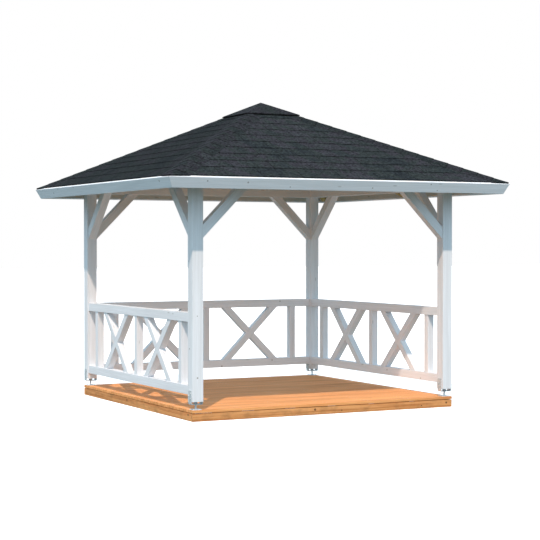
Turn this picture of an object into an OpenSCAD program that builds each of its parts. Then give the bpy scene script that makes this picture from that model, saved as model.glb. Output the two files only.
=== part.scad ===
// Square garden gazebo: a timber frame on a low deck, with a pyramid roof and three
// railed sides. The side at -Y is the open entrance, and left and right are seen from
// there. Millimetres, +Z up, origin on the ground under the middle of the deck.

/* [Deck] */
// Side of the square deck, and the outer distance between the posts
deck_w = 3000; // [2400:10:3600]
// Thickness of the deck boards
deck_board_t = 28; // [20:1:45]
// Height of the deck's frame under the boards
deck_frame_h = 82; // [60:1:160]
// Thickness of the rim boards and joists
joist_t = 45; // [38:1:60]
// How far the deck boards overhang the rim
deck_lip = 1; // [0:1:20]
// Shadow gap between the rim boards and the deck boards
rim_gap = 6; // [0:1:15]
// Number of joists between the two side rims
joist_count = 5; // [3:2:7]

/* [Posts and beams] */
// Section of the square posts
post_w = 115; // [90:1:140]
// Gap between the deck and the end of a post
post_gap = 80; // [70:1:120]
// Height from the deck boards up to the beams
headroom = 2177; // [2000:1:2400]
// Height of the beams, which are as wide as the posts
beam_h = 140; // [120:1:180]
// Width of the chamfer along the edges of a timber
chamfer = 5; // [2:0.5:8]

/* [Knee braces] */
// Section of the square braces
brace_w = 90; // [70:1:100]
// Leg of a brace's lower edge, along the post and along the beam
brace_leg = 516; // [400:1:700]

/* [Railings] */
// Section of the square rails
rail_w = 90; // [70:1:100]
// Height of the bottom rail's underside above the deck
bottom_rail_z = 142; // [80:1:250]
// Height of the top rail's upper face above the deck
top_rail_z = 940; // [800:1:1100]
// Section of the square slats and cross bars
slat_w = 75; // [50:1:90]
// Distance from the middle slat to each outer slat
slat_reach = 1148; // [900:1:1250]

/* [Post feet] */
// Width of the bracket's straps
strap_w = 70; // [50:1:90]
// Thickness of the bracket's straps
strap_t = 5; // [3:0.5:8]
// Height of the bracket's underside above the deck
bracket_z = 52; // [40:1:60]
// Height of the bracket
bracket_h = 138; // [100:1:180]
// Diameter of the threaded rod
rod_d = 20; // [12:1:24]
// Side of the square base plate
base_plate_w = 98; // [80:1:110]
// Thickness of the base plate
base_plate_t = 6; // [4:1:10]
// Width across the flats of the nut on the rod
nut_w = 36; // [24:1:46]
// Height of the nut on the rod
nut_h = 16; // [8:1:20]

/* [Roof] */
// Outer width of the roof, across the top edges of the fascia boards
roof_w = 3856; // [3400:2:4400]
// Slope of the roof in degrees
pitch = 25; // [20:0.5:35]
// Height of the fascia's outer top edge above the deck
eave_z = 2230; // [2150:1:2300]
// Width of the fascia boards, square to the slope
fascia_h = 113; // [112:1:130]
// Thickness of the fascia boards
fascia_t = 32; // [20:1:40]
// Thickness of the roof boards
roof_board_t = 20; // [18:1:28]
// Depth of the rafters, square to the slope
rafter_h = 90; // [80:1:92]
// Thickness of the rafters
rafter_t = 60; // [45:1:60]
// Width of the king block across its flats
king_w = 150; // [146:1:180]
// How far the king block hangs below the rafters
king_drop = 60; // [20:1:120]

/* [Roof covering] */
// Thickness of the shingle covering
shingle_t = 10; // [6:1:14]
// Thickness of the hip caps
hip_cap_t = 7; // [4:1:10]
// Width of a hip cap on each side of the hip, seen from above
hip_cap_w = 143; // [90:1:180]
// How far the hip caps reach out over the fascia from the shingles' edge
hip_cap_lip = 24; // [0:1:30]
// Thickness of the apex cap
apex_cap_t = 9; // [5:1:14]
// Half of the apex cap's width, seen from above
apex_cap_w = 316; // [240:1:400]

/* [Hidden] */

white = [0.88, 0.89, 0.90];
larch = [0.82, 0.60, 0.40];
spruce = [0.76, 0.68, 0.55];
zinc = [0.62, 0.66, 0.68];
slate = [0.25, 0.27, 0.29];

// Sides by quarter turns from the front, anticlockwise seen from above
front = 0;
right = 1;
back = 2;
left = 3;

half = deck_w / 2;
deck_z = deck_frame_h + deck_board_t;
post_axis = half - post_w / 2;
span = deck_w - 2 * post_w;
beam_z = deck_z + headroom;
infill_z = deck_z + bottom_rail_z + rail_w;
infill_h = top_rail_z - bottom_rail_z - 2 * rail_w;
roof_half = roof_w / 2;
roof_z = deck_z + eave_z;
slope_len = roof_half / cos(pitch);
far = 2 * roof_w;
king_r = king_w / 2 / cos(22.5);
rafter_base = roof_board_t + rafter_h;
king_z = roof_z + (roof_half - king_w / 2) * tan(pitch) - rafter_base / cos(pitch) - king_drop;

// Turns its children from the front to another side
module side(k) {
  rotate([0, 0, 90 * k]) children();
}

// A square-edged timber of a given length with four chamfered edges, standing on its end
module timber(w, l) {
  a = w / 2;
  b = a - chamfer;
  linear_extrude(l)
    polygon([[-b, -a], [b, -a], [a, -b], [a, b], [b, a], [-b, a], [-a, b], [-a, -b]]);
}

// A timber lying along X, centred on the origin
module lying_timber(w, l) {
  translate([-l / 2, 0, 0]) rotate([0, 90, 0]) timber(w, l);
}

// Frame of the front slope: X along the eave, Y up the slope from the fascia's outer
// top edge, and Z square to the slope
module on_slope() {
  translate([0, -roof_half, roof_z]) rotate([pitch, 0, 0]) children();
}

// The part of a flat layer on the front slope that lies between the two hips
module slope_layer(from, low, high) {
  intersection() {
    on_slope() translate([-roof_half, from, low]) cube([roof_w, slope_len - from + far, high - low]);
    linear_extrude(far) polygon([[0, 0], [-roof_half, -roof_half], [roof_half, -roof_half]]);
  }
}

// Everything above a plane parallel to the front slope
module above_slope(low) {
  on_slope() translate([-far, -far, low]) cube([2 * far, 2 * far, far]);
}

// Everything outside the inner face of the front fascia
module outside_fascia() {
  on_slope() translate([-far, fascia_t - far, -far]) cube([2 * far, far, 2 * far]);
}

module deck_boards() {
  color(larch) translate([-half, -half, deck_frame_h]) cube([deck_w, deck_w, deck_board_t]);
}

module deck_joists() {
  reach = deck_w - 2 * (deck_lip + joist_t);
  step = reach / (joist_count + 1);
  first = -step * (joist_count - 1) / 2;
  color(larch) for (i = [0 : joist_count - 1])
    translate([first + i * step - joist_t / 2, -reach / 2, 0]) cube([joist_t, reach, deck_frame_h]);
}

// The front and back rims run the full width, and the side rims fit between them. They stop
// short of the boards, which rest on the joists.
module deck_rim(k) {
  full = deck_w - 2 * deck_lip;
  l = k == front || k == back ? full : full - 2 * joist_t;
  color(larch) side(k) translate([-l / 2, -half + deck_lip, 0]) cube([l, joist_t, deck_frame_h - rim_gap]);
}

module post(x, y) {
  color(white) translate([x * post_axis, y * post_axis, deck_z + post_gap])
    timber(post_w, headroom - post_gap);
}

// A base plate with a threaded rod that carries a U bracket, and the nut on the bracket
module post_foot() {
  rod_top = post_gap - 2;
  translate([-base_plate_w / 2, -base_plate_w / 2, 0]) cube([base_plate_w, base_plate_w, base_plate_t]);
  cylinder(h = rod_top, d = rod_d, $fn = 32);
  translate([0, 0, bracket_z + strap_t]) cylinder(h = nut_h, r = nut_w / 2 / cos(30), $fn = 6);
  translate([-post_w / 2 - strap_t, -strap_w / 2, bracket_z])
    cube([post_w + 2 * strap_t, strap_w, strap_t]);
  for (x = [-1, 1])
    translate([x * (post_w + strap_t) / 2 - strap_t / 2, -strap_w / 2, bracket_z])
      cube([strap_t, strap_w, bracket_h]);
}

module post_feet() {
  color(zinc) for (x = [-1, 1], y = [-1, 1])
    translate([x * post_axis, y * post_axis, deck_z]) post_foot();
}

// One brace at the left end of the front side, cut off by the post's face and the beam
module knee_brace() {
  edge = brace_w / 2 * sqrt(2);
  inner = -half + post_w;
  low = beam_z - brace_leg;
  color(white) intersection() {
    translate([inner, -post_axis, low + edge]) rotate([0, 45, 0])
      translate([0, 0, -brace_leg]) timber(brace_w, 3 * brace_leg);
    translate([inner, -half, low - brace_w]) cube([2 * brace_leg, post_w, brace_leg + brace_w]);
  }
}

module knee_braces(k) {
  side(k) {
    knee_brace();
    mirror([1, 0, 0]) knee_brace();
  }
}

// Both rails of a side, from post to post
module rails(k) {
  color(white) side(k) for (z = [bottom_rail_z + rail_w / 2, top_rail_z - rail_w / 2])
    translate([0, -post_axis, deck_z + z]) lying_timber(rail_w, span);
}

module slats(k) {
  color(white) side(k) for (i = [-1 : 1])
    translate([i * slat_reach, -post_axis, infill_z]) timber(slat_w, infill_h);
}

// A diagonal bar in each bay between the slats. The two bars of a cross lean 45 degrees
// each way, and each keeps one half of its thickness where they cross.
module cross_bars(k, lean) {
  color(white) side(k) for (i = [-1, 1])
    translate([i * slat_reach / 2, -post_axis, infill_z + infill_h / 2])
      difference() {
        intersection() {
          rotate([0, lean, 0]) translate([0, 0, -infill_h]) timber(slat_w, 2 * infill_h);
          translate([-infill_h, -slat_w, -infill_h / 2]) cube([2 * infill_h, 2 * slat_w, infill_h]);
        }
        rotate([0, lean, 0]) translate([-slat_w, lean > 0 ? 0 : -slat_w, -slat_w / 2])
          cube([2 * slat_w, slat_w, slat_w]);
      }
}

// The front and back beams keep the lower half at each corner lap, the side beams the upper
module beam(k) {
  lap_z = k == front || k == back ? beam_z + beam_h / 2 : beam_z;
  color(white) difference() {
    side(k) translate([-half, -half, beam_z]) cube([deck_w, post_w, beam_h]);
    side(k) for (x = [-half, half - post_w])
      translate([x, -half - 1, lap_z - (lap_z == beam_z ? 1 : 0)])
        cube([post_w + 1, post_w + 2, beam_h / 2 + 1]);
  }
}

module all_beams() {
  for (k = [front : left]) side(k) translate([-half, -half, beam_z]) cube([deck_w, post_w, beam_h]);
}

module king_prism() {
  translate([0, 0, king_z]) rotate([0, 0, 22.5]) cylinder(h = far, r = king_r, $fn = 8);
}

module king_block() {
  color(spruce) difference() {
    king_prism();
    for (k = [front : left]) side(k) above_slope(-roof_board_t);
  }
}

// Rafters up the middle of each slope, from the fascia to the king block
module common_rafters() {
  color(spruce) difference() {
    for (k = [front : left]) side(k) on_slope() translate([-rafter_t / 2, fascia_t, -rafter_base])
      cube([rafter_t, slope_len - fascia_t - king_w / 4, rafter_h]);
    all_beams();
    king_prism();
  }
}

// One rafter under the hip at the front left corner, backed to fit both slopes
module hip_rafter() {
  reach = roof_half * sqrt(2);
  hip_tan = tan(pitch) / sqrt(2);
  depth = rafter_base / cos(pitch);
  color(spruce) difference() {
    rotate([0, 0, 225]) rotate([90, 0, 0]) translate([0, 0, -rafter_t / 2]) linear_extrude(rafter_t)
      polygon([
        [0, roof_z + reach * hip_tan - depth], [reach, roof_z - depth],
        [reach, roof_z], [0, roof_z + reach * hip_tan]
      ]);
    for (k = [front, left]) side(k) {
      above_slope(-roof_board_t);
      outside_fascia();
    }
    all_beams();
    king_prism();
  }
}

module hip_rafters() {
  for (k = [front : left]) side(k) hip_rafter();
}

module roof_boards(k) {
  color(spruce) side(k) slope_layer(fascia_t, -roof_board_t, 0);
}

module fascia(k) {
  color(white) side(k) intersection() {
    on_slope() translate([-roof_half, 0, -fascia_h]) cube([roof_w, fascia_t, fascia_h]);
    linear_extrude(far) polygon([[0, 0], [-roof_half, -roof_half], [roof_half, -roof_half]]);
  }
}

module shingles(k) {
  color(slate) side(k) slope_layer(fascia_t, 0, shingle_t);
}

// Strips folded over the four hips, from over the fascia to just under the apex cap's edge
module hip_caps() {
  inner_end = apex_cap_w * sqrt(2) - hip_cap_w;
  outer_v = fascia_t - hip_cap_lip;
  color(slate) intersection() {
    for (k = [front : left]) side(k) slope_layer(outer_v, shingle_t, shingle_t + hip_cap_t);
    for (k = [front : left]) side(k) rotate([0, 0, 45])
      translate([inner_end, -hip_cap_w, 0]) cube([far, 2 * hip_cap_w, far]);
  }
}

// A small pyramid over the upper ends of the hip caps
module apex_cap() {
  base = shingle_t + hip_cap_t;
  color(slate) intersection() {
    for (k = [front : left]) side(k) slope_layer(fascia_t, base, base + apex_cap_t);
    translate([-apex_cap_w, -apex_cap_w, 0]) cube([2 * apex_cap_w, 2 * apex_cap_w, far]);
  }
}

deck_boards();
deck_joists();
deck_rim(front);  // front_deck_rim
deck_rim(right);  // right_deck_rim
deck_rim(back);  // back_deck_rim
deck_rim(left);  // left_deck_rim
post(-1, -1);  // front_left_post
post(1, -1);  // front_right_post
post(1, 1);  // back_right_post
post(-1, 1);  // back_left_post
post_feet();
knee_braces(front);  // front_knee_braces
knee_braces(right);  // right_knee_braces
knee_braces(back);  // back_knee_braces
knee_braces(left);  // left_knee_braces
rails(right);  // right_rails
slats(right);  // right_slats
cross_bars(right, 45);  // right_rising_bars
cross_bars(right, -45);  // right_falling_bars
rails(back);  // back_rails
slats(back);  // back_slats
cross_bars(back, 45);  // back_rising_bars
cross_bars(back, -45);  // back_falling_bars
rails(left);  // left_rails
slats(left);  // left_slats
cross_bars(left, 45);  // left_rising_bars
cross_bars(left, -45);  // left_falling_bars
beam(front);  // front_beam
beam(right);  // right_beam
beam(back);  // back_beam
beam(left);  // left_beam
hip_rafters();
common_rafters();
king_block();
roof_boards(front);  // front_roof_boards
roof_boards(right);  // right_roof_boards
roof_boards(back);  // back_roof_boards
roof_boards(left);  // left_roof_boards
fascia(front);  // front_fascia
fascia(right);  // right_fascia
fascia(back);  // back_fascia
fascia(left);  // left_fascia
shingles(front);  // front_shingles
shingles(right);  // right_shingles
shingles(back);  // back_shingles
shingles(left);  // left_shingles
hip_caps();
apex_cap();
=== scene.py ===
import math

import bmesh
import bpy
import numpy as np
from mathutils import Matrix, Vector


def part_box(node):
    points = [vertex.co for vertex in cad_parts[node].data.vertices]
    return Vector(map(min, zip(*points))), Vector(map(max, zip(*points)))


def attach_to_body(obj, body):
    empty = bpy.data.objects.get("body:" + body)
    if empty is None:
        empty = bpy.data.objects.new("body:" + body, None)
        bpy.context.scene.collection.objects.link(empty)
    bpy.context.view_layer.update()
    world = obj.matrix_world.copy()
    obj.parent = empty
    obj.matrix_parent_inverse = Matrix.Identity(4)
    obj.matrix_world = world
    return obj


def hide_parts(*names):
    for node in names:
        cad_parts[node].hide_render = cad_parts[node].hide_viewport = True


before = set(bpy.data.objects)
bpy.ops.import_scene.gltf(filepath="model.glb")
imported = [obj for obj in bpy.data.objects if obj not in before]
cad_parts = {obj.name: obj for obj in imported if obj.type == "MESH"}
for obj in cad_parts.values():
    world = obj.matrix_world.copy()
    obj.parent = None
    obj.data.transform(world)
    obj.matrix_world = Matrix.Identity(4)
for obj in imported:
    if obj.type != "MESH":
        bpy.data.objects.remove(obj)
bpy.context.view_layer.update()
chance = np.random.default_rng(11)  # one seeded source for every random lift and grain offset


def corners(node):
    low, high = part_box(node)
    return np.array(low), np.array(high)


deckLow, deckHigh = corners("deck_boards")
rimHigh = corners("front_deck_rim")[1]
postLow, postHigh = corners("front_left_post")
beamLow, beamHigh = corners("front_beam")
railLow, railHigh = corners("left_rails")
slatLow, slatHigh = corners("left_slats")
fasciaLow, fasciaHigh = corners("front_fascia")

deckHalf = deckHigh[0]
deckTop = deckHigh[2]
postWidth = postHigh[0] - postLow[0]
postAxis = deckHalf - postWidth / 2
postInner = deckHalf - postWidth
railSize = railHigh[0] - railLow[0]
slatSize = slatHigh[0] - slatLow[0]
infillLow, infillHigh = slatLow[2], slatHigh[2]
slatReach = slatHigh[1] - slatSize / 2

roofForm = {
    "pitch": math.radians(25),
    "fasciaThick": 0.032,
    "boardThick": 0.020,
    "shingleThick": 0.010,
    "hipCapThick": 0.007,
    "apexCapThick": 0.009,
}
rise, run = math.sin(roofForm["pitch"]), math.cos(roofForm["pitch"])
roofHalf = fasciaHigh[0]
eaveHeight = fasciaHigh[2] - roofForm["fasciaThick"] * rise
fasciaDepth = (eaveHeight - fasciaLow[2]) / run
slopeLength = roofHalf / run

sides = ["front", "right", "back", "left"]


# Turns points about Z from the front side to the right, back or left one, a quarter turn each
def turned(points, quarter):
    c, s = [(1, 0), (0, 1), (-1, 0), (0, -1)][quarter]
    x, y, z = np.moveaxis(np.asarray(points, float), -1, 0)
    return np.stack([c * x - s * y, s * x + c * y, z], axis=-1)


# Puts slope coordinates in place on the front slope: x along the eave, v up the slope from the
# fascia's outer top edge, h square to the slope
def onSlope(x, v, h):
    x, v, h = np.broadcast_arrays(x, v, h)
    return np.stack([x, v * run - h * rise - roofHalf, v * rise + h * run + eaveHeight], axis=-1)


# Six times the volume inside each bar, as the sum of a.(b x c) over the triangles of its surface
def signedVolume(rings):
    here = rings - rings.mean(axis=(1, 2), keepdims=True)
    beside = np.roll(here, -1, axis=2)

    def triple(a, b, c):
        return np.einsum("...i,...i", a, np.cross(b, c)).reshape(len(rings), -1).sum(axis=1)

    walls = triple(here[:, :-1], beside[:, :-1], beside[:, 1:])
    walls = walls + triple(here[:, :-1], beside[:, 1:], here[:, 1:])
    first, last = here[:, 0], here[:, -1]
    top = triple(np.broadcast_to(last[:, :1], last.shape), last, beside[:, -1])
    base = triple(np.broadcast_to(first[:, :1], first.shape), first, beside[:, 0])
    return walls + top - base


meshRules = {
    "sharp": 32,  # degrees from which an edge stays sharp
    "weldWithin": 1e-5,  # metres between points that are made one
}


# One piece made of closed bars. rings[b, s, k] is corner k of section s of bar b. Quads join each
# section to the next and a flat face closes each end, turned so that every face looks outwards.
def makePiece(name, bars, material, stands, weld=False):
    points, quads, ends, marks = [], [], [], {}
    count = 0
    for rings, coats in bars:
        inside = signedVolume(rings) < 0
        index = np.arange(rings[..., 0].size).reshape(rings.shape[:3])
        index = count + np.where(inside[:, None, None], index[:, :, ::-1], index)
        beside = np.roll(index, -1, axis=2)
        quad = np.stack([index[:, :-1], beside[:, :-1], beside[:, 1:], index[:, 1:]], axis=-1)
        quads.append(quad.reshape(-1, 4))
        ends += np.concatenate([index[:, 0, ::-1], index[:, -1]]).tolist()
        points.append(rings.reshape(-1, 3))
        for mark, values in coats.items():
            marks.setdefault(mark, []).append(np.broadcast_to(values, rings.shape).reshape(-1, 3))
        count += index.size
    mesh = bpy.data.meshes.new(name)
    mesh.from_pydata(np.concatenate(points).tolist(), [], np.concatenate(quads).tolist() + ends)
    for mark, values in marks.items():
        attribute = mesh.attributes.new(mark, "FLOAT_VECTOR", "POINT")
        attribute.data.foreach_set("vector", np.concatenate(values).ravel())
    if weld:
        loose = bmesh.new()
        loose.from_mesh(mesh)
        bmesh.ops.remove_doubles(loose, verts=loose.verts, dist=meshRules["weldWithin"])
        bmesh.ops.dissolve_degenerate(loose, edges=loose.edges, dist=meshRules["weldWithin"])
        loose.to_mesh(mesh)
        loose.free()
    mesh.polygons.foreach_set("use_smooth", np.ones(len(mesh.polygons), bool))
    mesh.set_sharp_from_angle(angle=math.radians(meshRules["sharp"]))
    mesh.materials.append(material)
    piece = bpy.data.objects.new(name, mesh)
    bpy.context.scene.collection.objects.link(piece)
    even = piece.modifiers.new("even shading", "WEIGHTED_NORMAL")  # keeps flat faces flat beside arrises
    even.keep_sharp = True
    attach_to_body(piece, "root")
    if stands:
        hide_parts(*stands)


# Corners of a rectangle with arcs of one radius at its corners, anticlockwise
def roundedRectangle(width, height, radius, steps=2):
    turn = np.arange(4)[:, None] * math.pi / 2 + np.radians(np.linspace(0, 90, steps + 1))
    corner = np.array([[1, 1], [-1, 1], [-1, -1], [1, -1]])[:, None]
    centre = corner * [width / 2 - radius, height / 2 - radius]
    return (centre + radius * np.stack([np.cos(turn), np.sin(turn)], axis=-1)).reshape(-1, 2)


# Turned shape: each (radius, height) of the outline is a ring about an axis through each place, and
# a flat-sided one divides the radius by the cosine of the angle from the middle of the nearest flat
def turnedShape(places, axis, outline, flats=0, around=16):
    axis = np.array(axis, float)
    first = np.cross(axis, [0.3, 1.0, 0.2])  # any direction off the axis does
    first /= np.linalg.norm(first)
    second = np.cross(axis, first)
    angle = np.arange(around) * 2 * math.pi / around
    radius, height = np.array(outline, float).T
    wide = np.ones(around)
    if flats:
        part = 2 * math.pi / flats
        wide = 1 / np.cos((angle + part / 2) % part - part / 2)
    spoke = np.cos(angle)[:, None] * first + np.sin(angle)[:, None] * second
    rings = (radius[:, None] * wide)[..., None] * spoke + height[:, None, None] * axis
    rings = np.asarray(places, float)[:, None, None] + rings
    return rings, {"grain": rings}


# A socket in an expression. Sums and products of values add Math nodes, and node() adds any other.
class Value:
    def __init__(self, tree, socket=None):
        self.tree = tree
        self.socket = socket

    def node(self, kind, inputs=None, output=0, stops=None, **settings):
        made = self.tree.nodes.new(kind)
        for name, setting in settings.items():
            setattr(made, name, setting)
        if stops:
            ramp = made.color_ramp
            ends = [ramp.elements[0], ramp.elements[1]]
            for element, (place, colour) in zip(ends, [stops[0], stops[-1]]):
                element.position = place
                element.color = (*colour, 1)
            for place, colour in stops[1:-1]:
                ramp.elements.new(place).color = (*colour, 1)
        for place, given in (inputs or {}).items():
            if isinstance(given, Value):
                self.tree.links.new(given.socket, made.inputs[place])
            else:
                made.inputs[place].default_value = given
        return Value(self.tree, made.outputs[output])

    def math(self, operation, *others):
        return self.node("ShaderNodeMath", dict(enumerate((self, *others))), operation=operation)

    def __add__(self, other):
        return self.math("ADD", other)

    def __radd__(self, other):
        return self.math("ADD", other)

    def __sub__(self, other):
        return self.math("SUBTRACT", other)

    def __rsub__(self, other):
        return self.node("ShaderNodeMath", {0: other, 1: self}, operation="SUBTRACT")

    def __mul__(self, other):
        return self.math("MULTIPLY", other)

    def __rmul__(self, other):
        return self.math("MULTIPLY", other)

    def __truediv__(self, other):
        return self.math("DIVIDE", other)

    def __rtruediv__(self, other):
        return self.node("ShaderNodeMath", {0: other, 1: self}, operation="DIVIDE")


def noise(place, scale, detail=3.0, roughness=0.55):
    inputs = {"Vector": place, "Scale": scale, "Detail": detail, "Roughness": roughness}
    return place.node("ShaderNodeTexNoise", inputs)


def stretched(place, factors):
    return place.node("ShaderNodeVectorMath", {0: place, 1: factors}, operation="MULTIPLY")


# Noise drawn out along a timber, from how fast it changes along, across and through it
def streaks(lay, perMetre, detail=3.0, roughness=0.55):
    return noise(stretched(lay, perMetre), 1.0, detail, roughness)


def firstOf(*values):
    return next(value for value in values if isinstance(value, Value))


# A colour between two colours, or a colour times another, on a Mix node's colour sockets 6 and 7
def mixed(factor, first, second, mode="MIX"):
    colours = {6: first, 7: second}
    for place, colour in colours.items():
        if not isinstance(colour, Value):
            colours[place] = (*colour, 1)
    inputs = {0: factor, **colours}
    given = firstOf(factor, first, second)
    return given.node("ShaderNodeMix", inputs, output=2, data_type="RGBA", blend_type=mode)


# A smooth step: 0 below one value and 1 above the other
def fade(value, low, high):
    inputs = {"Value": value, "From Min": low, "From Max": high}
    return value.node("ShaderNodeMapRange", inputs, interpolation_type="SMOOTHSTEP")


def ramped(value, stops):
    return value.node("ShaderNodeValToRGB", {"Fac": value}, stops=stops)


# A colour darkened or lightened by a value
def shaded(colour, value):
    grey = value.node("ShaderNodeCombineColor", {0: value, 1: value, 2: value})
    return mixed(1.0, colour, grey, "MULTIPLY")


def newMaterial(name, **fixed):
    material = bpy.data.materials.new(name)
    material.use_nodes = True
    shader = material.node_tree.nodes["Principled BSDF"]
    for socketName, value in fixed.items():
        shader.inputs[socketName.replace("_", " ")].default_value = value
    return material, shader, Value(material.node_tree)


def attach(shader, **sources):
    for socketName, source in sources.items():
        source.tree.links.new(source.socket, shader.inputs[socketName.replace("_", " ")])


def bump(height, distance, strength):
    inputs = {"Height": height, "Distance": distance, "Strength": strength}
    return height.node("ShaderNodeBump", inputs)


# Where a pattern lies: the piece's own board coordinates, or its place in the frame
def boardCoordinates(start):
    return start.node("ShaderNodeAttribute", output="Vector", attribute_name="grain")


def frameCoordinates(start):
    return start.node("ShaderNodeTexCoord", output="Object")


knotForm = {
    "core": 0.45,  # share of a knot's radius that is fully dark
    "rim": 1.1,  # share at which it has faded out
    "squeeze": 4,  # how much closer scattered knots may lie across a timber than along it
}


# 1 inside the nearest of the knots, each given as x, y, z and radius, fading to 0 at its rim
def knotMask(place, knots):
    nearest = None
    for x, y, z, radius in knots:
        inputs = {0: place, 1: (x, y, z)}
        away = place.node("ShaderNodeVectorMath", inputs, output="Value", operation="DISTANCE") / radius
        nearest = away if nearest is None else nearest.math("MINIMUM", away)
    return 1 - fade(nearest, knotForm["core"], knotForm["rim"])


# Places of knots given as distance along a side, height and radius, on a face that lies out from
# the middle
def knotsOn(quarter, out, marks):
    along, height, radius = np.array(marks).T
    places = turned(np.stack([along, 0 * along - out, height], axis=-1), quarter)
    return np.column_stack([places, radius]).tolist()


# Scattered knots: cells drawn out along the timber, each with a small dark core at its middle
def scatteredKnots(lay, spacing, size):
    across = knotForm["squeeze"] / spacing
    cells = stretched(lay, (1 / spacing, across, across))
    near = lay.node("ShaderNodeTexVoronoi", {"Vector": cells, "Scale": 1.0}, feature="F1")
    return 1 - fade(near, size * 0.5, size)


# A timber's colour with its knots: scattered ones, and any that have places of their own
def knotted(colour, start, lay, look, knots=()):
    knot = scatteredKnots(lay, *look["scattered"])
    colour = mixed(knot * look["scatteredDepth"], colour, look["knot"])
    if knots:
        marked = knotMask(frameCoordinates(start), knots)
        colour = mixed(marked * look["markedDepth"], colour, look["knot"])
    return colour


paintLook = {
    "coat": (0.89, 0.905, 0.945),
    "thin": (0.78, 0.79, 0.82),  # where the grain shows through
    "knot": (0.30, 0.27, 0.24),
    "roughness": 0.5,
    "fibre": (3.0, 150.0, 150.0),  # changes a metre along, across and through the timber
    "band": (0.9, 22.0, 22.0),
    "scattered": (0.42, 0.085),  # spacing in metres and size of the scattered knots
    "scatteredDepth": 0.38,
    "markedDepth": 0.75,  # of the knots that have their own places
    "relief": 0.0006,
}


# White stain on planed timber: fibres and bands of drawn-out noise, with knots showing through
def paintedTimber(name, knots=()):
    material, shader, start = newMaterial(name, Specular_IOR_Level=0.35)
    lay = boardCoordinates(start)
    fibre = streaks(lay, paintLook["fibre"], 4.0, 0.6)
    band = streaks(lay, paintLook["band"], 3.0, 0.5)
    tone = fade(fibre * 0.55 + band * 0.45, 0.36, 0.68)
    colour = mixed(tone, paintLook["thin"], paintLook["coat"])
    colour = knotted(colour, start, lay, paintLook, knots)
    roughness = paintLook["roughness"] + 0.14 * (1 - tone)
    relief = bump(fibre * 0.7 + band * 0.5, paintLook["relief"], 0.6)
    attach(shader, Base_Color=colour, Roughness=roughness, Normal=relief)
    return material


larchLook = {
    "early": (0.96, 0.450, 0.168),
    "late": (0.56, 0.180, 0.045),
    "knot": (0.10, 0.030, 0.012),
    "roughness": 0.62,
    "drift": (0.5, 5.0, 5.0),  # changes a metre along, across and through the board
    "band": (0.8, 30.0, 30.0),
    "line": (1.4, 85.0, 85.0),
    "fibre": (9.0, 420.0, 420.0),
    "cloud": (7.0, 16.0, 16.0),
    "scattered": (0.55, 0.075),
    "scatteredDepth": 0.7,
    "markedDepth": 0.92,
    "relief": 0.0006,
}


# Oiled larch: dark latewood lines and bands drawn out along the board over slow warm drifts, with
# knots. shade darkens the whole board as painted shade, and grime is how much its dark clouds show.
def oiledLarch(name, knots=(), shade=1.0, grime=0.0):
    material, shader, start = newMaterial(name, Specular_IOR_Level=0.25)
    lay = boardCoordinates(start)
    drift = streaks(lay, larchLook["drift"], 2.0)
    band = streaks(lay, larchLook["band"], 2.0)
    line = streaks(lay, larchLook["line"], 3.0, 0.5)
    fibre = streaks(lay, larchLook["fibre"], 3.0, 0.6)
    late = fade(line * 0.40 + band * 0.40 + fibre * 0.20, 0.43, 0.62)
    colour = mixed(late * 0.8, larchLook["early"], larchLook["late"])
    cloud = streaks(lay, larchLook["cloud"], 3.0, 0.6)
    colour = shaded(colour, shade * (0.76 + drift * 0.46) - grime * fade(cloud, 0.42, 0.72))
    colour = knotted(colour, start, lay, larchLook, knots)
    roughness = larchLook["roughness"] + late * 0.12
    relief = bump(fibre * 0.5 - late * 0.6, larchLook["relief"], 0.7)
    attach(shader, Base_Color=colour, Roughness=roughness, Normal=relief)
    return material


spruceLook = {
    "early": (0.51, 0.365, 0.140),
    "late": (0.37, 0.235, 0.08),
    "knot": (0.18, 0.09, 0.04),
    "roughness": 0.68,
    "line": (1.6, 70.0, 70.0),  # changes a metre along, across and through the timber
    "fibre": (7.0, 360.0, 360.0),
    "scattered": (0.5, 0.09),
    "scatteredDepth": 0.7,
    "relief": 0.0005,
}


# Planed spruce of the roof: soft lines and fibres of drawn-out noise. A piece without board
# coordinates takes its place in the frame instead, with the axes scaled by frameScale.
def planedSpruce(name, frameScale=None):
    material, shader, start = newMaterial(name, Specular_IOR_Level=0.25)
    lay = stretched(frameCoordinates(start), frameScale) if frameScale else boardCoordinates(start)
    line = streaks(lay, spruceLook["line"], 3.0, 0.5)
    fibre = streaks(lay, spruceLook["fibre"], 2.0, 0.6)
    late = fade(line * 0.8 + fibre * 0.2, 0.42, 0.68)
    colour = mixed(late, spruceLook["early"], spruceLook["late"])
    colour = knotted(colour, start, lay, spruceLook)
    roughness = spruceLook["roughness"] + late * 0.1
    relief = bump(fibre - late, spruceLook["relief"], 0.6)
    attach(shader, Base_Color=colour, Roughness=roughness, Normal=relief)
    return material


feltLook = {
    "tones": [
        (0.00, (0.013, 0.016, 0.019)),
        (0.25, (0.020, 0.025, 0.029)),
        (0.42, (0.026, 0.033, 0.033)),
        (0.58, (0.030, 0.029, 0.037)),
        (0.76, (0.034, 0.039, 0.044)),
        (1.00, (0.046, 0.052, 0.055)),
    ],
    "patch": 0.17,  # length of a patch of one tone along the course
    "slant": 0.45,  # how far a patch's ends lean for each metre up the slope
    "shares": (0.34, 0.60, 0.95),  # of the patches, the broad drifts and the blotches in the tone
    "toneShift": -0.48,
    "grit": (0.28, 1.20, 0.30),  # base shade, and how much coarse and fine granules add to it
    "cut": 0.0045,  # width of the dark line at a tab's ends
    "cutDepth": 0.55,
    "lip": 0.009,  # width of the line of painted shade at a tab's butt
    "buttShadeDepth": (0.20, 0.22),  # all along the butt, and more where the line is broken dark
    "relief": 0.0015,
}
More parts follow.
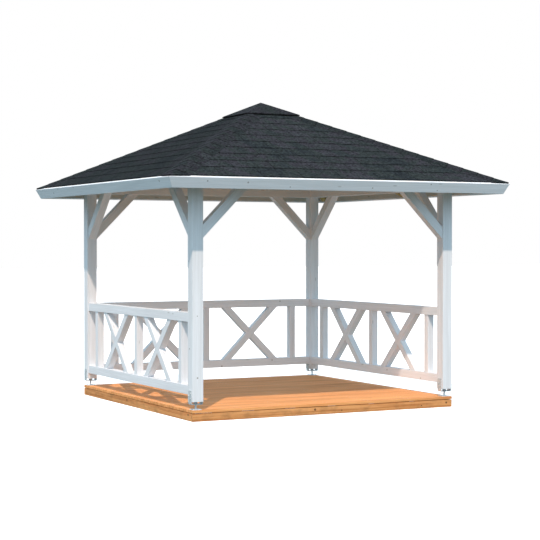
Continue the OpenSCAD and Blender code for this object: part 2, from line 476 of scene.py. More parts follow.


# Bitumen shingles: leaning patches of one tone along each course, coarse and fine granules, a broken dark
# line at both ends of a tab and a softer line of painted shade at its butt, where edges holds the
# distances to them. tone darkens or lightens the whole felt, on a slope as painted shade, and drawn makes
# its lines stronger or fainter.
def mineralFelt(name, tone=1.0, drawn=1.0):
    material, shader, start = newMaterial(name, Specular_IOR_Level=0.05, Roughness=0.95)
    lay = boardCoordinates(start)
    edges = start.node("ShaderNodeAttribute", output="Vector", attribute_name="edges")
    x, v, course = [lay.node("ShaderNodeSeparateXYZ", {0: lay}, output=axis) for axis in "XYZ"]
    left, right, butt = [edges.node("ShaderNodeSeparateXYZ", {0: edges}, output=axis) for axis in "XYZ"]
    lean = ((x + v * feltLook["slant"]) / feltLook["patch"]).math("FLOOR")
    cell = lay.node("ShaderNodeCombineXYZ", {0: lean, 1: course.math("FLOOR"), 2: 0.0})
    patch = cell.node("ShaderNodeTexWhiteNoise", {"Vector": cell}, noise_dimensions="3D")
    place = frameCoordinates(start)
    broad = noise(place, 1.3, 2.0)
    blotch = noise(place, 9.0, 3.0, 0.6)
    coarse = noise(place, 40.0, 3.0, 0.8)
    fine = noise(place, 420.0, 2.0, 0.7)
    ofPatch, ofBroad, ofBlotch = feltLook["shares"]
    mottle = patch * ofPatch + broad * ofBroad + blotch * ofBlotch + feltLook["toneShift"]
    colour = ramped(mottle, feltLook["tones"])
    base, ofCoarse, ofFine = feltLook["grit"]
    grains = fade(coarse, 0.33, 0.67) * ofCoarse + fine * ofFine
    broken = fade(noise(place, 14.0, 2.0), 0.38, 0.60)
    cut = (1 - fade(left.math("MINIMUM", right), feltLook["cut"] * 0.4, feltLook["cut"])) * broken
    # painted shade: a softer dark line along each tab's butt, darker still where the broken mask is dark
    lip = 1 - fade(butt, feltLook["lip"] * 0.3, feltLook["lip"])
    always, whereBroken = feltLook["buttShadeDepth"]
    lines = 1 - cut * (feltLook["cutDepth"] * drawn)
    lines = lines * (1 - lip * (always + broken * whereBroken) * drawn)
    # lines carry the painted shade at the butts, and tone darkens or lightens the whole felt
    colour = shaded(colour, (base + grains) * lines * tone)
    attach(shader, Base_Color=colour, Normal=bump(fine * 0.6 + coarse * 0.4, feltLook["relief"], 0.8))
    return material


zincLook = {
    "bright": (0.78, 0.82, 0.84),
    "dull": (0.58, 0.63, 0.66),
    "metallic": 0.45,
    "roughness": 0.42,
    "crystals": 140.0,  # a metre
    "relief": 0.0002,
}


# Hot-dip zinc: cells of bright and dull crystals, rougher where dull
def zincSteel(name):
    material, shader, start = newMaterial(name, Metallic=zincLook["metallic"])
    place = frameCoordinates(start)
    cells = {"Vector": place, "Scale": zincLook["crystals"]}
    crystal = place.node("ShaderNodeTexVoronoi", cells, output="Color")
    grey = crystal.node("ShaderNodeRGBToBW", {0: crystal})
    dull = fade(grey * 0.6 + noise(place, zincLook["crystals"] / 4) * 0.4, 0.25, 0.75)
    colour = mixed(dull, zincLook["bright"], zincLook["dull"])
    roughness = zincLook["roughness"] + dull * 0.2
    attach(shader, Base_Color=colour, Roughness=roughness, Normal=bump(dull, zincLook["relief"], 0.5))
    return material


timberForm = {
    "arris": 0.0035,  # radius along the edges
    "end": 0.0012,  # how far an end is eased
    "grainAlong": 40,  # metres over which a timber's grain may be moved along
    "grainAcross": 0.5,
    "touch": 1e-6,  # slack when a section is matched to a lap
}


# A timber is a rounded rectangle carried along a straight axis. Corner (s, k) is
# start + along * t(s, k) + side * a(k) + up * b(k), where t slides the end sections onto the end
# cuts' planes. A lap (from, to, keep) flattens b to one side of the axis between two stations.
# The grain coordinates are t, a and b, moved by a random amount for each timber.
def timber(start, end, side, size, cuts=(None, None), laps=(), arris=None):
    start, end, side = [np.array(given, float) for given in (start, end, side)]
    length = np.linalg.norm(end - start)
    along = (end - start) / length
    side = side / np.linalg.norm(side)
    up = np.cross(along, side)
    ease, touch = timberForm["end"], timberForm["touch"]
    profile = roundedRectangle(size[0], size[1], arris or timberForm["arris"])

    def keepAt(place):
        return next((keep for low, high, keep in laps if low - touch < place < high + touch), 0)

    stations = [(0, ease, keepAt(0)), (ease, 0, keepAt(0))]
    for low, high, keep in laps:
        stations += [(low, 0, 0), (low, 0, keep)] if low > ease else []
        stations += [(high, 0, keep), (high, 0, 0)] if high < length - ease else []
    stations += [(length - ease, 0, keepAt(length)), (length, ease, keepAt(length))]

    rings, lay = [], []
    across = timberForm["grainAcross"]
    move = np.append(chance.uniform(0, timberForm["grainAlong"]), chance.uniform(-across, across, 2))
    for place, inset, keep in stations:
        a = profile[:, 0] * (1 - 2 * inset / size[0])
        b = profile[:, 1] * (1 - 2 * inset / size[1])
        if keep:
            b = keep * np.maximum(keep * b, 0)
        offset = a[:, None] * side + b[:, None] * up
        cut = cuts[0] if place <= ease else cuts[1] if place >= length - ease else None
        t = np.full(len(a), float(place))
        if cut is not None:
            t = t - offset @ np.array(cut, float) / (along @ np.array(cut, float))
        rings.append(start + t[:, None] * along + offset)
        lay.append(np.stack([t, a, b], axis=-1) + move)
    return np.array(rings)[None], {"grain": np.array(lay)[None]}


# The same bars on another side of the gazebo
def onSide(bars, quarter):
    return [(turned(rings, quarter), coats) for rings, coats in bars]


print("stage 1: deck")

deckLook = {
    "boards": 21,
    "gap": 0.005,
    "arris": 0.003,
    "rimThick": 0.045,  # the joists' too
    "joists": 5,
    "screwHead": 0.0045,
    "screwInset": 0.030,  # from a board's edge to its screws
    "screwClear": 0.06,  # half the side of the square round a post's middle that has no screws
    # rimShade darkens the rim boards' larch as painted shade
    "rimShade": 0.87,
    "rimGrime": 0.22,
}
larch = oiledLarch("oiled_larch")

boardStep = (2 * deckHalf + deckLook["gap"]) / deckLook["boards"]
boardWidth = boardStep - deckLook["gap"]
boardThick = deckTop - deckLow[2]
boardMiddles = -deckHalf + boardWidth / 2 + boardStep * np.arange(deckLook["boards"])
boardHeight = deckTop - boardThick / 2
deckBars = [
    timber((-deckHalf, y, boardHeight), (deckHalf, y, boardHeight), (0, 1, 0), (boardWidth, boardThick),
           arris=deckLook["arris"])
    for y in boardMiddles
]
makePiece("deck_planks", deckBars, larch, ["deck_boards"])

rimOut = rimHigh[0]
rimThick = deckLook["rimThick"]
rimMiddle = rimOut - rimThick / 2
rimTop = rimHigh[2]
# Knots in the rim boards: along the side, height and radius
rimKnots = {
    "front": [(-0.15, 0.053, 0.015), (0.16, 0.030, 0.009), (1.12, 0.031, 0.008), (1.43, 0.047, 0.013)],
    "left": [(-0.195, 0.057, 0.016), (0.67, 0.062, 0.008), (1.39, 0.058, 0.014), (-1.12, 0.040, 0.010)],
}
for quarter, sideName in enumerate(sides):
    reach = rimOut if quarter % 2 == 0 else rimOut - rimThick
    rim = timber((-reach, -rimMiddle, rimTop / 2), (reach, -rimMiddle, rimTop / 2),
                 (0, 1, 0), (rimThick, rimTop), arris=deckLook["arris"])
    knots = knotsOn(quarter, rimOut, rimKnots[sideName]) if sideName in rimKnots else []
    # the rim boards take a copy of the larch darkened by painted shade, with clouds of grime
    finish = oiledLarch("larch_painted_shade_" + sideName, knots, deckLook["rimShade"], deckLook["rimGrime"])
    makePiece(sideName + "_rim_board", onSide([rim], quarter), finish,
              [sideName + "_deck_rim"])

joistReach = rimOut - rimThick
joistStep = 2 * joistReach / (deckLook["joists"] + 1)
joistPlaces = (np.arange(deckLook["joists"]) - (deckLook["joists"] - 1) / 2) * joistStep
joistTop = deckLow[2]
joists = [
    timber((x, -joistReach, joistTop / 2), (x, joistReach, joistTop / 2), (1, 0, 0), (rimThick, joistTop),
           arris=deckLook["arris"])
    for x in joistPlaces
]
makePiece("joists", joists, larch, ["deck_joists"])


# Screws in rows: two in each board over each joist and side rim, with low domed heads, but none
# under the posts' plates
def deckScrews():
    head = deckLook["screwHead"]
    rows = np.append(joistPlaces, [-rimMiddle, rimMiddle])
    edge = boardWidth / 2 - deckLook["screwInset"]
    x, y, shift = np.meshgrid(rows, boardMiddles, [-edge, edge], indexing="ij")
    places = np.stack([x, y + shift, np.full(x.shape, deckTop)], axis=-1).reshape(-1, 3)
    underPost = (np.abs(np.abs(places[:, :2]) - postAxis) < deckLook["screwClear"]).all(axis=1)
    outline = [(head * 0.5, -0.004), (head, -0.0005), (head * 0.9, 0.0004), (head * 0.45, 0.0007)]
    return turnedShape(places[~underPost], (0, 0, 1), outline, around=10)


zinc = zincSteel("hot_dip_zinc")
makePiece("deck_screws", [deckScrews()], zinc, [])


print("stage 2: posts, braces and beams")

postLook = {
    "arris": 0.0045,
    "frontKnots": [(-1.448, 0.422, 0.011), (-1.45, 1.02, 0.007)],
    "leftKnots": [(1.425, 0.702, 0.010), (1.41, 1.55, 0.007)],
}
paint = paintedTimber("white_stain")
postKnots = knotsOn(sides.index("front"), deckHalf, postLook["frontKnots"])
postKnots += knotsOn(sides.index("left"), deckHalf, postLook["leftKnots"])
postPaint = paintedTimber("white_stain_near_post", postKnots)
postPlaces = {"front_left": (-1, -1), "front_right": (1, -1), "back_right": (1, 1), "back_left": (-1, 1)}
for name, (wayX, wayY) in postPlaces.items():
    x, y = wayX * postAxis, wayY * postAxis
    upright = timber((x, y, postLow[2]), (x, y, postHigh[2]), (1, 0, 0), (postWidth, postWidth),
                     arris=postLook["arris"])
    finish = postPaint if name == "front_left" else paint
    makePiece(name + "_upright", [upright], finish, [name + "_post"])

braceLook = {
    "size": 0.090,
    "leg": 0.516,  # from the beam down to the brace's lowest point on the post
}


# The brace at the left end of the front side (way 1) or at its right end (way -1). It leans 45
# degrees, and its ends are cut by the post's face and by the beam's underside.
def kneeBrace(way):
    halfCut = braceLook["size"] / math.sqrt(2)
    low = beamLow[2] - braceLook["leg"] + halfCut
    reach = beamLow[2] - low
    start = (-postInner * way, -postAxis, low)
    end = ((-postInner + reach) * way, -postAxis, beamLow[2])
    size = (braceLook["size"], braceLook["size"])
    return timber(start, end, (0, 1, 0), size, cuts=((1, 0, 0), (0, 0, 1)))


beamDepth = beamHigh[2] - beamLow[2]
beamMiddle = (beamLow[2] + beamHigh[2]) / 2
for quarter, sideName in enumerate(sides):
    braces = [kneeBrace(1), kneeBrace(-1)]
    makePiece(sideName + "_braces", onSide(braces, quarter), paint,
              [sideName + "_knee_braces"])
    keep = -1 if quarter % 2 == 0 else 1  # which half of its depth a beam keeps at a corner lap
    laps = [(0, postWidth, keep), (2 * deckHalf - postWidth, 2 * deckHalf, keep)]
    plate = timber((-deckHalf, -postAxis, beamMiddle), (deckHalf, -postAxis, beamMiddle), (0, 1, 0),
                   (postWidth, beamDepth), laps=laps)
    makePiece(sideName + "_wall_plate", onSide([plate], quarter), paint,
              [sideName + "_beam"], weld=True)


print("stage 3: railings")

# Knots in the rails: along the side, height and radius
railKnots = {
    "left": [(1.0, 1.025, 0.009), (1.094, 0.362, 0.010)],
    "back": [(-0.973, 1.027, 0.010), (-0.865, 0.317, 0.011), (-0.193, 0.268, 0.011)],
    "right": [(-0.371, 0.311, 0.011), (-1.054, 0.270, 0.009)],
}
barSize = (slatSize, slatSize)


# A crossing bar leans one way across its bay between two level cuts, and keeps one half of its
# thickness where the other bar crosses it
def crossBar(middle, lean):
    centre = np.array([middle, -postAxis, (infillLow + infillHigh) / 2])
    reach = (infillHigh - infillLow) / 2
    slope = np.array([lean * reach, 0, reach])
    side = np.array([1, 0, -lean])
    halfLength = reach * math.sqrt(2)
    lap = (halfLength - slatSize / 2, halfLength + slatSize / 2, -lean)
    return timber(centre - slope, centre + slope, side, barSize, cuts=((0, 0, 1), (0, 0, 1)), laps=[lap])


for sideName, marks in railKnots.items():
    quarter = sides.index(sideName)
    face = 1 if sideName == "left" else -1  # knots on the outer or on the inner face
    knots = []
    for mark in marks:
        size = slatSize if infillLow < mark[1] < infillHigh else railSize
        knots += knotsOn(quarter, postAxis + face * size / 2, [mark])
    finish = paintedTimber("white_stain_" + sideName, knots)
    heights = [railLow[2] + railSize / 2, railHigh[2] - railSize / 2]
    rails = [
        timber((-postInner, -postAxis, z), (postInner, -postAxis, z), (0, 1, 0), (railSize, railSize))
        for z in heights
    ]
    slats = [
        timber((x, -postAxis, infillLow), (x, -postAxis, infillHigh), (1, 0, 0), barSize)
        for x in (-slatReach, 0, slatReach)
    ]
    rising = [crossBar(x, 1) for x in (-slatReach / 2, slatReach / 2)]
    falling = [crossBar(x, -1) for x in (-slatReach / 2, slatReach / 2)]
    makePiece(sideName + "_handrails", onSide(rails, quarter), finish,
              [sideName + "_rails"])
    makePiece(sideName + "_balusters", onSide(slats, quarter), finish,
              [sideName + "_slats"])
    makePiece(sideName + "_cross_rising", onSide(rising, quarter), finish,
              [sideName + "_rising_bars"], weld=True)
    makePiece(sideName + "_cross_falling", onSide(falling, quarter), finish,
              [sideName + "_falling_bars"], weld=True)


print("stage 4: post brackets")

bracketLook = {
    "strapWidth": 0.070, "strapThick": 0.005, "strapEdge": 0.0012,
    "low": 0.052, "height": 0.138, "bend": 0.007,  # of the strap above the deck, its legs, its bends
    "plate": 0.098, "plateThick": 0.006, "plateCorner": 0.010, "plateEase": (0.0008, 0.001),
    "rod": 0.020, "rodClear": 0.002, "thread": 0.0025, "threadDepth": 0.0011, "threadRings": 8,
    "nut": 0.036, "nutHeight": 0.016,
    "boltFlats": 0.013, "boltHeight": 0.0055,
    "bolts": [(-0.017, 0.060), (0.017, 0.085), (-0.017, 0.110)],  # across a strap's leg, and up it
    "screwInset": 0.016,  # from the plate's edges
    "screw": [(0.0065, 0), (0.0065, 0.0012), (0.0052, 0.0030), (0.0026, 0.0038)],  # radius, height
    "washer": [(0.0095, 0), (0.0100, 0.0004), (0.0100, 0.0011), (0.0093, 0.0015)],
}
footPlaces = np.array([(x * postAxis, y * postAxis, deckTop) for x in (-1, 1) for y in (-1, 1)])


# The strap: a flat bar's rounded section carried down one leg, round a bend, across under the post,
# round the other bend and up
def strapBars():
    look = bracketLook
    leg = (postWidth + look["strapThick"]) / 2
    base = look["low"] + look["strapThick"] / 2
    bend = look["bend"]
    turn = np.radians(np.linspace(0, 90, 6))
    rightX = np.append(leg - bend + bend * np.sin(turn), [leg])
    rightZ = np.append(base + bend - bend * np.cos(turn), [look["low"] + look["height"]])
    rightTurn = np.append(turn, [math.pi / 2])
    x = np.append(-rightX[::-1], rightX)
    z = np.append(rightZ[::-1], rightZ)
    tilt = np.append(-rightTurn[::-1], rightTurn)
    section = roundedRectangle(look["strapWidth"], look["strapThick"], look["strapEdge"])
    across, through = section[:, 0], section[:, 1]
    rings = np.stack([
        x[:, None] - through * np.sin(tilt)[:, None],
        np.broadcast_to(across, (len(x), len(across))),
        z[:, None] + through * np.cos(tilt)[:, None],
    ], axis=-1)
    rings = footPlaces[:, None, None] + rings
    return rings, {"grain": rings}


# The base plate: a rounded square with slightly eased upper and lower edges
def plateBars():
    look = bracketLook
    thick = look["plateThick"]
    under, over = look["plateEase"]
    rings = []
    for height, inset in [(0, under), (under, 0), (thick - over, 0), (thick, over)]:
        side = look["plate"] - 2 * inset
        outline = roundedRectangle(side, side, look["plateCorner"], 5)
        rings.append(np.column_stack([outline, np.full(len(outline), height)]))
    rings = footPlaces[:, None, None] + np.array(rings)
    return rings, {"grain": rings}


# The threaded rod: its radius falls and rises once a pitch as height and angle advance together
def rodBars():
    look = bracketLook
    low, high = look["plateThick"], postLow[2] - deckTop - look["rodClear"]
    height = np.linspace(low, high, int((high - low) / look["thread"] * look["threadRings"]))[:, None]
    angle = np.linspace(0, 2 * math.pi, 25)[None, :-1]
    wave = np.abs((height / look["thread"] - angle / (2 * math.pi)) % 1 * 2 - 1)
    radius = look["rod"] / 2 - look["threadDepth"] * wave
    rings = np.stack([radius * np.cos(angle), radius * np.sin(angle), height + 0 * angle], axis=-1)
    rings = footPlaces[:, None, None] + rings
    return rings, {"grain": rings}


# A hexagon nut or head above its seat, with its outer corners taken off at both faces
def hexOutline(flats, height, seat=0.0):
    r = flats / 2
    outline = [(r * 0.93, 0), (r, r * 0.06), (r, height - r * 0.10), (r * 0.90, height)]
    return [(radius, z + seat) for radius, z in outline]


def bracketBars():
    look = bracketLook
    bars = [strapBars(), plateBars(), rodBars()]
    nutSeat = footPlaces + [0, 0, look["low"] + look["strapThick"]]
    nut = hexOutline(look["nut"], look["nutHeight"])
    bars.append(turnedShape(nutSeat, (0, 0, 1), nut, flats=6, around=24))
    corner = look["plate"] / 2 - look["screwInset"]
    spots = np.array([(x, y, look["plateThick"]) for x in (-corner, corner) for y in (-corner, corner)])
    screws = (footPlaces[:, None] + spots).reshape(-1, 3)
    bars.append(turnedShape(screws, (0, 0, 1), look["screw"], around=16))
    face = postWidth / 2 + look["strapThick"]
    for way in (-1, 1):
        seats = np.array([(way * face, y, look["low"] + z) for y, z in look["bolts"]])
        seats = (footPlaces[:, None] + seats).reshape(-1, 3)
        bars.append(turnedShape(seats, (way, 0, 0), look["washer"], around=20))
        head = hexOutline(look["boltFlats"], look["boltHeight"], seat=look["washer"][-1][1])
        bars.append(turnedShape(seats, (way, 0, 0), head, flats=6, around=24))
    return bars


makePiece("post_brackets", bracketBars(), zinc, ["post_feet"])


print("stage 5: roof timbers")

roofLook = {
    "boardCover": 0.096,
    "boardJoint": 0.0012,
    "boardArris": 0.0022,
    "narrowest": 0.4,  # the top board is at least this share of a board wide
    "topGap": 0.012,
    "fasciaArris": 0.003,
}
spruce = planedSpruce("planed_spruce")


# A strip along the front slope between the two hip planes, centred on v and h
def slopeBar(v, h, size, arris=None):
    x, y, z = onSlope(0.0, v, h)
    hips = ((1, -1, 0), (1, 1, 0))
    return timber((y, y, z), (-y, y, z), (0, run, rise), size, cuts=hips, arris=arris)


def roofBoardBars():
    thick, cover = roofForm["boardThick"], roofLook["boardCover"]
    low, high = roofForm["fasciaThick"], slopeLength - roofLook["topGap"]
    edges = np.append(np.arange(low, high - cover * roofLook["narrowest"], cover), high)
    return [
        slopeBar((a + b) / 2, -thick / 2, (b - a - roofLook["boardJoint"], thick), roofLook["boardArris"])
        for a, b in zip(edges[:-1], edges[1:])
    ]


# Knots on the fascias: along the eave, down the face from its top edge, and radius
fasciaKnots = {
    "front": [(-1.53, 0.038, 0.010), (-1.105, 0.045, 0.011), (-0.645, 0.083, 0.008), (0.281, 0.076, 0.009),
              (0.959, 0.024, 0.009), (1.05, 0.088, 0.008)],
    "left": [(-0.682, 0.012, 0.012), (-1.37, 0.059, 0.012), (1.654, 0.036, 0.012)],
}
fasciaMiddle = (roofForm["fasciaThick"] / 2, -fasciaDepth / 2)
for quarter, sideName in enumerate(sides):
    makePiece(sideName + "_soffit_boards", onSide(roofBoardBars(), quarter), spruce,
              [sideName + "_roof_boards"])
    knots = [
        (*turned(onSlope(along, 0.0, -down), quarter).tolist(), radius)
        for along, down, radius in fasciaKnots.get(sideName, [])
    ]
    finish = paintedTimber("white_stain_fascia_" + sideName, knots) if knots else paint
    board = slopeBar(*fasciaMiddle, (roofForm["fasciaThick"], fasciaDepth), roofLook["fasciaArris"])
    makePiece(sideName + "_fascia_board", onSide([board], quarter), finish,
              [sideName + "_fascia"])


print("stage 6: shingles and caps")

shingleLook = {
    "firstCourse": 0.032,  # up the slope from the fascia's outer edge to the first butt
    "secondCourse": 0.254,
    "exposure": 0.182,  # how much of a course shows
    "tabWidth": 0.435,
    "firstJoint": -0.064,  # where a joint of the first course lies from the middle of the slope
    "gap": 0.0036,
    "sideShift": 0.11,  # moves the joints from one slope to the next
    "patchShift": 7,  # these two give each slope its own run of tones
    "rowShift": 20,
    "sheet": 0.0046,
    "seat": 0.0002,  # between the roof boards and the lowest tabs
    "overlap": 0.012,
    "lift": 0.0010,
    "ease": 0.0012,  # how far a tab's ends are eased
    "sliver": 0.02,  # no tab is left with less than this
    "topRow": 0.06,  # a course that reaches less far than this from the middle is left out
    "underlay": 0.0022,
    "underlaySeat": 0.0001,
    # each slope's tone darkens its felt as painted shade, the left slope's most, and drawn sets how strong
    # its lines are
    "tones": {"front": (0.93, 1.0), "right": (0.88, 0.8), "back": (0.88, 0.8), "left": (0.54, 0.3)},
}
slopeShadedFelts = {
    sideName: mineralFelt("mineral_felt_" + sideName, tone, drawn)
    for sideName, (tone, drawn) in shingleLook["tones"].items()
}
# The outline round a sheet of felt: how far along it from the butt, in metres on the butt's rounded
# lip and then as a share, and how far above its underside as a share of its thickness
sheetAlong = np.array([0, 0.0015, 0.004, 0.35, 0.7, 1, 1, 0.7, 0.35, 0.002])
sheetAbove = np.array([0.3, 0.85, 1, 1, 1, 1, 0, 0, 0, 0])
inLip = sheetAlong < 0.01


# Tabs of one slope as strips of the sheet's outline (v, h): from the butt's rounded lip up the top
# face, round the upper end and back underneath. Each outline point runs along x between its tab's
# ends, or stops at the hip, where x is as far out as the slope is at that v.
def shingleBars(quarter):
    look = shingleLook
    layer = roofForm["shingleThick"]
    courses = int((slopeLength - look["secondCourse"]) / look["exposure"]) + 2
    butts = look["secondCourse"] + look["exposure"] * (np.arange(courses) - 1)
    butts[0] = look["firstCourse"]
    tops = np.append(butts[1:], slopeLength) + look["overlap"]
    tabsEachWay = math.ceil(roofHalf / look["tabWidth"]) + 1
    low, high, left, right, course = [], [], [], [], []
    for number, (butt, top) in enumerate(zip(butts, tops)):
        limit = roofHalf - butt * run
        if limit < look["topRow"]:
            continue
        first = look["firstJoint"] + (number % 2) * look["tabWidth"] / 2 + quarter * look["sideShift"]
        ends = first + look["tabWidth"] * np.arange(-tabsEachWay, tabsEachWay + 1)
        for a, b in zip(ends[:-1], ends[1:]):
            if b > -limit + look["sliver"] and a < limit - look["sliver"]:
                low.append(butt)
                high.append(min(top, slopeLength - look["sliver"]))
                left.append(a)
                right.append(b)
                course.append(number + look["rowShift"] * quarter)
    low, high, left, right, course = [np.array(row)[:, None] for row in (low, high, left, right, course)]
    v = low + np.where(inLip, sheetAlong, sheetAlong * (high - low))
    base = (layer - look["sheet"]) * (1 - (v - low) / (high - low))
    h = base + look["sheet"] * sheetAbove + look["seat"]
    limit = roofHalf - v * run + h * rise
    a = np.clip(left + look["gap"] / 2, -limit, limit)
    b = np.clip(right - look["gap"] / 2, -limit, limit)
    share = np.array([0, 0.004, 0.5, 0.996, 1])[None, :, None]
    x = a[:, None] + (b - a)[:, None] * share
    ease = look["ease"] * np.array([1, 0, 0, 0, 1])[None, :, None]
    lift = chance.uniform(-look["lift"], 0, (len(low), 5, 1)) * sheetAbove
    height = h[:, None] - ease * sheetAbove + lift
    v = np.broadcast_to(v[:, None], x.shape)
    rings = turned(onSlope(x, v, height), quarter)
    row = np.broadcast_to(course[:, :, None] + 0.5, x.shape)
    lay = np.stack([x + look["patchShift"] * quarter, v, row], axis=-1)
    edges = np.stack([x - left[:, :, None], right[:, :, None] - x, v - low[:, :, None]], axis=-1)
    return rings, {"grain": lay, "edges": edges}


# The underlay, a thin sheet between the hips that closes the joints between the tabs from below
def underlayBar():
    thick, low = shingleLook["underlay"], roofForm["fasciaThick"]
    middle = (low + slopeLength - roofLook["topGap"]) / 2
    height = thick / 2 + shingleLook["underlaySeat"]
    rings, coats = slopeBar(middle, height, (2 * (middle - low), thick), thick * 0.3)
    return rings, {**coats, "edges": (1.0, 1.0, 1.0)}  # far from every joint


for quarter, sideName in enumerate(sides):
    bars = [shingleBars(quarter)] + onSide([underlayBar()], quarter)
    makePiece(sideName + "_shingle_tabs", bars, slopeShadedFelts[sideName], [sideName + "_shingles"])

capLook = {
    "exposure": 0.167,  # along the hip
    "halfWidth": 0.143,  # seen from above, each side of the hip
    "fold": 0.010,  # how far the fold is rounded
    "sheet": 0.0036,
    "overlap": 0.010,
    "lip": 0.024,  # how far the lowest piece reaches out over the fascia at the corner
    "trim": 1.08,  # how much faster than the eaves its end falls back beside the corner
    "crease": 0.0858,  # from the fold
    "creaseFade": 0.02,  # how much farther off the crease counts on a piece's upper half
    "dip": 0.005,  # how far the long edges settle between the tabs
    "seat": 0.0005,  # between the lowest piece's underside and the fascia
    "shortest": 0.3,  # the top piece is at least this share of a piece long
    "underApex": 0.05,  # how far the pieces run on under the apex cap
    "apexHalf": 0.316,
    "apexFold": 0.004,
    "patchShift": 5.0,  # gives each hip its own run of tones
    "rowShift": 40,
    "tone": 0.74,
    # drawn strengthens the caps' lines, among them the painted shadow along each piece's butt
    "drawn": 1.8,
}
capFelt = mineralFelt("mineral_felt_caps", capLook["tone"], capLook["drawn"])
# Where a hip cap's points lie across it, as shares of its half width
capAcross = np.array([-1, -0.985, -0.6, -0.2, -0.07, 0, 0.07, 0.2, 0.6, 0.985, 1])
hipSteep = rise / run / math.sqrt(2)
hipStretch = math.sqrt(1 + hipSteep ** 2)


# Height of the slopes over a point t out along a hip and s to one side in plan, with the fold
# rounded: the eave's height plus tan(pitch) times how far the point is inside the eave
def hipHeight(t, s):
    far = (t + np.sqrt(s ** 2 + capLook["fold"] ** 2)) / math.sqrt(2)
    return eaveHeight + (roofHalf - far) * rise / run


# Hip caps as the sheet's outline carried across the fold, one piece after another up the hip. A
# piece's lower edge stands on the piece below at the fold and lies flat at both sides.
def hipCapBars():
    look = capLook
    eaveInset = (roofForm["fasciaThick"] - look["lip"]) * run
    limit = math.sqrt(2) * (roofHalf - eaveInset)
    inner = look["apexHalf"] * math.sqrt(2) - look["underApex"]
    step = look["exposure"] / hipStretch
    butts = np.arange(limit, inner + step * look["shortest"], -step)[:, None]
    ends = np.maximum(butts - step - look["overlap"], inner)
    t = butts - np.where(inLip, sheetAlong, sheetAlong * (butts - ends))
    s = look["halfWidth"] * capAcross[None, :, None]
    raised = (roofForm["hipCapThick"] - look["sheet"]) * (1 - (butts - t) / (butts - ends))
    edge = np.abs(s / look["halfWidth"])
    h = roofForm["shingleThick"] + raised[:, None] * (1 - edge ** 2) - look["dip"] * edge ** 4
    h = h + look["sheet"] * sheetAbove
    h[0] = np.where(sheetAbove == 0, look["seat"], h[0])  # the lowest piece is doubled down to the fascia
    t = np.broadcast_to(t[:, None], h.shape)
    s = np.broadcast_to(s, h.shape)
    t = np.minimum(t, limit - look["trim"] * np.abs(s))  # the lowest piece ends along the eaves
    z = hipHeight(t, s) + h / run
    x = (t + s) / math.sqrt(2)
    y = (t - s) / math.sqrt(2)
    rings = np.stack([-x, -y, z], axis=-1)
    number = np.arange(len(butts))[:, None, None] + 0.5
    lay = np.stack([s, t, np.broadcast_to(number, h.shape)], axis=-1)
    crease = np.abs(np.abs(s) - look["crease"])  # drawn along the lower half of each piece
    crease = crease + np.where(sheetAlong > 0.5, look["creaseFade"], 0.0)
    # the distance to each piece's butt draws a line of painted shadow along its lower edge
    edges = np.stack([crease, crease, butts[:, None] - t], axis=-1)
    bars = []
    for quarter in range(len(sides)):
        shift = [look["patchShift"] * quarter, 0, look["rowShift"] * (quarter + 1)]
        bars.append((turned(rings, quarter), {"grain": lay + shift, "edges": edges}))
    return bars


makePiece("hip_cap_pieces", hipCapBars(), capFelt, ["hip_caps"])


# The apex cap: square rings from the peak out to the lower edge, round it and back underneath, each
# given as a share of the cap's half width and a height square to the slope
def apexCapBars():
    look = capLook
    base = roofForm["shingleThick"] + roofForm["hipCapThick"]
    top = base + roofForm["apexCapThick"]
    outline = [
        (0.006, top), (0.25, top), (0.5, top), (0.75, top), (0.985, top),
        (0.997, top - 0.0015), (1, top - 0.004), (1, base + 0.0012),  # the rounded lower edge
        (0.996, base), (0.75, base), (0.25, base), (0.006, base),
    ]
    share = np.linspace(-1, 1, 13)[:-1]
    edge = np.column_stack([share, -np.ones(len(share)), np.zeros(len(share))])
    square = np.concatenate([turned(edge, quarter)[:, :2] for quarter in range(len(sides))])
    rings = []
    for scale, h in outline:
        plan = square * scale * look["apexHalf"]
        far = np.sqrt(np.abs(plan).max(axis=1) ** 2 + look["apexFold"] ** 2)
        z = eaveHeight + (roofHalf - far) * rise / run + h / run
        rings.append(np.column_stack([plan, z]))
    rings = np.array(rings)[None]
    across = np.abs(rings[..., :2]).max(axis=-1)
    # no lines at the ends; the distance to the lower edge draws a line of painted shade along it
    edges = np.stack([np.ones_like(across), np.ones_like(across), look["apexHalf"] - across], axis=-1)
    row = look["rowShift"] * 6 + 0.5  # clear of the hips' rows of tones
    lay = np.stack([rings[..., 0], rings[..., 1], np.full_like(across, row)], axis=-1)
    return rings, {"grain": lay, "edges": edges}


makePiece("apex_cap_sheet", [apexCapBars()], capFelt, ["apex_cap"])

# Roof timbers that stay as the frame has them, and how their spruce's pattern is scaled on X, Y, Z
frameTimbers = {"common_rafters": (1, 1, 1), "hip_rafters": (1, 1, 1), "king_block": (1, 1, 0.05)}
for node, scale in frameTimbers.items():
    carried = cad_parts[node]
    carried.data.materials.clear()
    carried.data.materials.append(planedSpruce("planed_" + node, scale))


print("stage 7: studio")

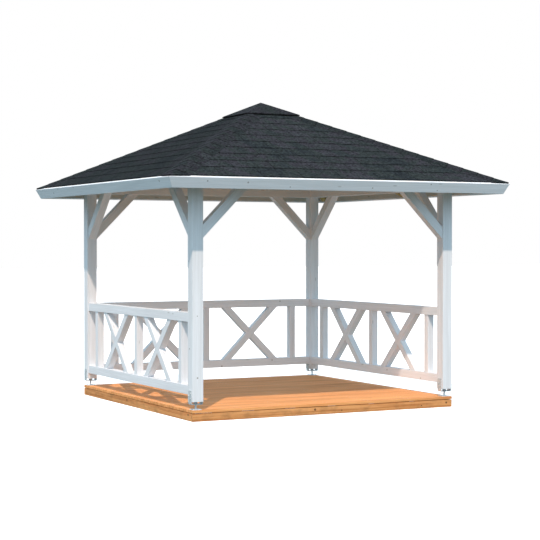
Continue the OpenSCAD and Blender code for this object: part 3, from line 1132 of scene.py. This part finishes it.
viewpoint = {
    "place": (-7.4232, -14.5795, 1.7000),
    "bearing": 27.339,  # degrees to the right of straight ahead
    "dip": 0.936,  # degrees below level
    "lens": 99.39,  # millimetres, as is the sensor's width
    "sensor": 36,
}
light = {
    "bearing": 35.8,  # the way the sunlight travels, in degrees to the right of straight ahead
    "height": 51.6,  # degrees above the horizon
    "power": 2.8,
    "warmth": (1.0, 0.82, 0.68),
    "width": 1.0,  # degrees across
    "sky": (0.78, 1.00, 1.16),
    "below": (0.17, 0.235, 0.24),
    "horizon": (-0.05, 0.15),  # how steeply up a direction points as the sky takes over from below
    "background": (1.0, 1.0, 1.0),
    "bounce": 6.0,  # a soft panel just above the deck that throws the timber's warm light upwards
    "bounceTint": (1.0, 0.885, 0.77),
    "bounceInset": 0.1,  # from the posts' inner faces
    "bounceRise": 0.01,
}

camera = bpy.data.objects.new("camera", bpy.data.cameras.new("camera"))
camera.data.lens = viewpoint["lens"]
camera.data.sensor_width = viewpoint["sensor"]
camera.location = viewpoint["place"]
camera.rotation_euler = (math.radians(90 - viewpoint["dip"]), 0, -math.radians(viewpoint["bearing"]))
bpy.context.scene.collection.objects.link(camera)
bpy.context.scene.camera = camera

sun = bpy.data.objects.new("sun", bpy.data.lights.new("sun", "SUN"))
sun.data.energy = light["power"]
sun.data.color = light["warmth"]
sun.data.angle = math.radians(light["width"])
bearing, height = math.radians(light["bearing"]), math.radians(light["height"])
flat = math.cos(height)
travel = Vector((math.sin(bearing) * flat, math.cos(bearing) * flat, -math.sin(height)))
sun.rotation_euler = travel.to_track_quat("-Z", "Y").to_euler()
bpy.context.scene.collection.objects.link(sun)

bounce = bpy.data.objects.new("bounce", bpy.data.lights.new("bounce", "AREA"))
bounce.data.energy = light["bounce"]
bounce.data.color = light["bounceTint"]
bounce.data.size = 2 * (postInner - light["bounceInset"])
bounce.location = (0, 0, deckTop + light["bounceRise"])
bounce.rotation_euler = (math.pi, 0, 0)
bounce.visible_camera = False
bounce.visible_glossy = False
bpy.context.scene.collection.objects.link(bounce)

world = bpy.data.worlds.new("studio")
bpy.context.scene.world = world
world.use_nodes = True
backdrop = world.node_tree.nodes["Background"]
seen = Value(world.node_tree).node("ShaderNodeLightPath", output="Is Camera Ray")
direction = seen.node("ShaderNodeTexCoord", output="Generated")
upwards = fade(direction.node("ShaderNodeSeparateXYZ", {0: direction}, output="Z"), *light["horizon"])
sky = mixed(seen, mixed(upwards, light["below"], light["sky"]), light["background"])
world.node_tree.links.new(sky.socket, backdrop.inputs["Color"])

floorLook = {
    "reach": 90.0,
    "height": -0.001,
    "tones": [(0.80, 0.80, 0.80), (0.83, 0.83, 0.83)],
    "patches": 0.4,  # a metre
    "glow": 0.75,
}
floorMaterial, floorShader, start = newMaterial("pale_floor", Roughness=0.9, Specular_IOR_Level=0.1)
mottle = noise(frameCoordinates(start), floorLook["patches"])
attach(floorShader, Base_Color=mixed(mottle, *floorLook["tones"]))
floorShader.inputs["Emission Color"].default_value = (1, 1, 1, 1)
floorShader.inputs["Emission Strength"].default_value = floorLook["glow"]
floorMesh = bpy.data.meshes.new("floor")
reach = floorLook["reach"]
floorCorners = [
    (x, y, floorLook["height"])
    for x, y in [(-reach, -reach), (reach, -reach), (reach, reach), (-reach, reach)]
]
floorMesh.from_pydata(floorCorners, [], [(0, 1, 2, 3)])
floorMesh.materials.append(floorMaterial)
floor = bpy.data.objects.new("floor", floorMesh)
bpy.context.scene.collection.objects.link(floor)
floor.visible_diffuse = False  # the sky's light from below stands in for what it would throw back
floor.visible_glossy = False

bpy.context.scene.view_settings.view_transform = "Standard"
